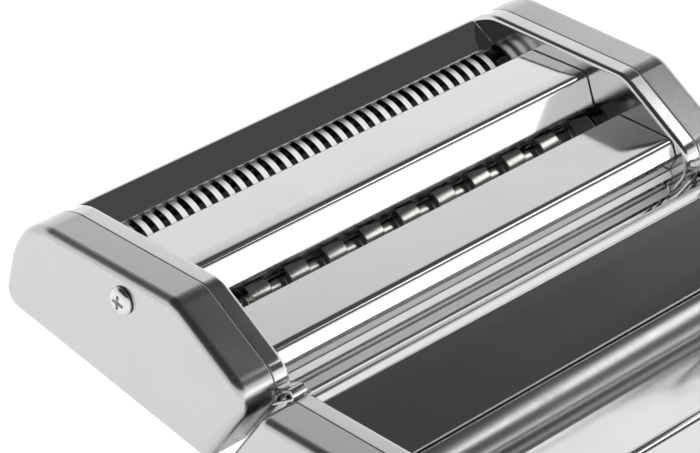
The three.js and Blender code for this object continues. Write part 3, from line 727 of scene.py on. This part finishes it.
def oblong(x, y, radius, middle_y=0):
    low, high = middle_y - y, middle_y + y
    return [(x, low, radius), (x, high, radius), (-x, high, radius), (-x, low, radius)]


tray = pressed(oblong(BASE_X, BASE_Y, 12), SKIRT, BASE_TOP, 2.4, 1.5)
tray = carved(tray, prism(oblong(17, 4.5, 2, -57.5), 0, BASE_TOP + 1))
tray.transform(X_TO_Z)
piece("base_tray", tray, "frame", ["base_plate"], PLATED)

# %% Rubber feet
FOOT = [(0, 7.4), (0.25, 8.2), (0.9, 8.8), (1.8, 9), (3, 8.9), (7, 8.2), (10.2, 7.5)]
for end, y in (("front", -54), ("rear", 54)):
    for name, side in SIDES:
        foot = spun(FOOT, 0, 0, 48, 0)
        foot.transform(Matrix.Translation((side * 70, y, 0)) @ X_TO_Z)
        piece(f"rubber_foot_{end}_{name}", foot, "frame", [f"foot_{end}_{name}"], RUBBER)

# %% [markdown]
# ## Thickness regulator
# The knob on the left end turns two cams that let the front roller back. Its grip is fluted, and a
# ring behind it carries the settings. Fluting by pushing in every third column of a spun shape keeps
# the grooves even all round.

# %% Knob and shaft
KNOB_FACE, KNOB_BACK = -106, -90
knob = spun([(KNOB_BACK, 13.5), (-90.6, 14.3), (-93, 14.5), (-94, 13.9), (-104, 13.2), (-105.4, 12.6),
             (KNOB_FACE, 11.4), (KNOB_FACE, 9.6), (-105.3, 8.8), (-105.1, 3)], *CAM_SHAFT, 72, 0)
for v in knob.verts:
    out = Vector((v.co.y - CAM_SHAFT[0], v.co.z - CAM_SHAFT[1]))
    column = round(math.degrees(math.atan2(out.y, out.x)) / 5) % 72
    if v.co.x < -93.9 and out.length > 12 and column % 3 == 0:
        bmesh.ops.translate(knob, verts=[v], vec=(0, *(-out.normalized() * 0.9)))
knob = carved(knob, cylinders([(*CAM_SHAFT, 3.3)], -101, KNOB_BACK + 1))
piece("fluted_knob", knob, "knob", ["regulator_knob"], BLACK)
mark = block((KNOB_FACE - 0.15, CAM_SHAFT[0] - 0.6, CAM_SHAFT[1] + 9.7),
             (KNOB_FACE + 0.2, CAM_SHAFT[0] + 0.6, CAM_SHAFT[1] + 11.3))
piece("knob_mark", mark, "knob", [], ENAMEL)
shaft = spun([(-FACE - 12, 3), (79.8, 3)], *CAM_SHAFT, 32, 0.4)
piece("cam_shaft", shaft, "regulator", ["regulator_shaft"], TURNED)

# %% Setting ring and numerals
PLATE_FACE = -FACE - 1.1
ring = carved(spun([(PLATE_FACE, 18), (-FACE - 0.3, 18)], *CAM_SHAFT, 96, 0.25),
              cylinders([(*CAM_SHAFT, 3.5)], -FACE - 5, -FACE + 5))
piece("setting_ring", ring, "frame", ["dial_plate"], ENAMEL)

SETTINGS, SWEEP = 7, 270
NUMERAL_SIZE, NUMERAL_RADIUS = 3.3, 16.3
numerals = bmesh.new()
for i in range(SETTINGS):
    text = bpy.data.curves.new("numeral", "FONT")
    text.body, text.size, text.extrude, text.resolution_u = str(SETTINGS - i), NUMERAL_SIZE, 0.08, 6
    text.align_x = text.align_y = "CENTER"
    holder = bpy.data.objects.new("numeral", text)
    scene.collection.objects.link(holder)
    flat = bpy.data.meshes.new_from_object(holder.evaluated_get(bpy.context.evaluated_depsgraph_get()))
    upright = Matrix(((0, 0, -1, 0), (-1, 0, 0, 0), (0, 1, 0, 0), (0, 0, 0, 1)))
    turned_by = Matrix.Rotation(-math.radians(SWEEP / (SETTINGS - 1) * i), 4, "X")
    spoke = turned_by @ Matrix.Translation((0, 0, NUMERAL_RADIUS))
    flat.transform(Matrix.Translation((PLATE_FACE, *CAM_SHAFT)) @ spoke @ upright)
    numerals.from_mesh(flat)
    bpy.data.objects.remove(holder)
    bpy.data.meshes.remove(flat)
    bpy.data.curves.remove(text)
piece("setting_numerals", numerals, "frame", [], INK)

# %% [markdown]
# ## Crank
# A flat bar with a six-sided end fits any of the three sockets. The grip turns freely on its pin. The
# bar, its boss, the hexagon and the pin are made apart and joined into one solid, as they are welded.

# %% Crank and grip
ARM, BAR_X, BAR_THICK, PIN_END = 78, 98, 4, 168
bar = prism([(7, -ARM - 7, 6), (7, 7, 6), (-7, 7, 6), (-7, -ARM - 7, 6)], BAR_X, BAR_X + BAR_THICK)
rounded(bar, edges_at(bar, BAR_X) + edges_at(bar, BAR_X + BAR_THICK), 0.8, 4)
boss = spun([(FACE + 1, 4.6), (FACE + 1.4, 5), (BAR_X + 0.5, 5)], 0, 0, 48, 0)
hexagon = cylinders([(0, 0, 3.6)], SOCKET_MOUTH - SOCKET_DEPTH + 0.3, FACE + 2, segments=6)
rounded(hexagon, edges_at(hexagon, SOCKET_MOUTH - SOCKET_DEPTH + 0.3), 0.6, 2)
pin = spun([(BAR_X + 3, 3), (PIN_END - 2, 3), (PIN_END - 2, 5), (PIN_END - 0.6, 4.8), (PIN_END, 3.4)],
           0, -ARM, 32, 0)
for part in (boss, hexagon, pin):
    bar = carved(bar, part, "UNION")
bar.transform(Matrix.Translation((0, SMOOTH_Y, SMOOTH_Z)))
piece("crank_bar", bar, "crank", ["crank_arm"], PLATED)

GRIP = [(102.3, 7.0), (102.8, 7.6), (104.3, 8.4), (106, 8.75), (106.4, 8.3), (107.2, 8.3), (107.6, 8.95),
        (115, 9.8), (124, 10.5), (134, 11.1), (144, 11.5), (152, 11.35), (158, 10.8), (162, 9.9),
        (164.5, 8.8), (165.7, 7.6)]
grip = carved(spun(GRIP, 0, 0, 64, 0), cylinders([(0, 0, 3.3)], 101, 167))
grip.transform(Matrix.Translation((0, SMOOTH_Y, SMOOTH_Z - ARM)))
piece("grip", grip, "grip", ["crank_grip"], BLACK)

# %% [markdown]
# ## Rails and hooks
# The cutter head hangs on the body's rear slope: its hooks slide down into two folded rails. They are
# small strips bent twice, so the sheet tool makes them too, and a rotation lays them on the slope.

# %% Strips on the slope
SLOPE = math.atan2(16.1, 23.7)
ON_SLOPE = Matrix(((0, 1, 0, 0), (-math.sin(SLOPE), 0, math.cos(SLOPE), 52.91),
                   (math.cos(SLOPE), 0, math.sin(SLOPE), 96), (0, 0, 0, 1)))
RAIL = [(68.5, 0.6), (75.65, 0.6), (75.65, 2.8), (73, 2.8)]
HOOK = [(75, 1.7), (70.5, 1.7), (70.5, 3.1)]
for name, side in SIDES:
    for label, path, low, high, gauge, body in (("hook_rail", RAIL, 6, 29, 0.6, "frame"),
                                                ("head_hook", HOOK, 9, 28, 0.8, "cutter_head")):
        strip = bent_sheet([(side * x, n) for x, n in path], low, high, bend=0.5, thickness=gauge)
        strip.transform(ON_SLOPE)
        piece(f"{label}_{name}_strip", strip, body, [f"{label}_{name}"], PLATED)

# %% [markdown]
# ## Catches at the ridge
# At each end of the body's ridge a folded strip stands round a pin of the head. The strip is closed above
# the pin, so it looks right at rest but does not let the pin out when the head slides up.

# %% Folded catch and its pin
CATCH = [(44.4, 121.3), (36.2, 124.2), (35.0, 122.4), (43.2, 117.2), (45.6, 117.8), (44.9, 119.4)]
CATCH_INNER = 71.6
PIN_AXIS, PIN_RADIUS = (41.6, 120.1), 1.0
for name, side in SIDES:
    low, high = sorted((side * PAN_EDGE, side * CATCH_INNER))
    loop = bent_sheet(CATCH, low, high, bend=0.9, thickness=0.8)
    piece(f"ridge_catch_{name}", loop, "frame", [], PLATED)
    pin = spun([(low - 0.3, 0.7), (low, PIN_RADIUS), (high, PIN_RADIUS)], *PIN_AXIS, 24, 0.2)
    piece(f"catch_pin_{name}", pin, "cutter_head", [], TURNED)

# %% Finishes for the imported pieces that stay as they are
KEPT = {"gear": TURNED, "comb": SATIN, "scraper": SATIN, "cam": TURNED, "bush": BRONZE, "block": BRONZE}
for name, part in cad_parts.items():
    for word, material in KEPT.items():
        if word in name:
            part.material_slots[0].material = material
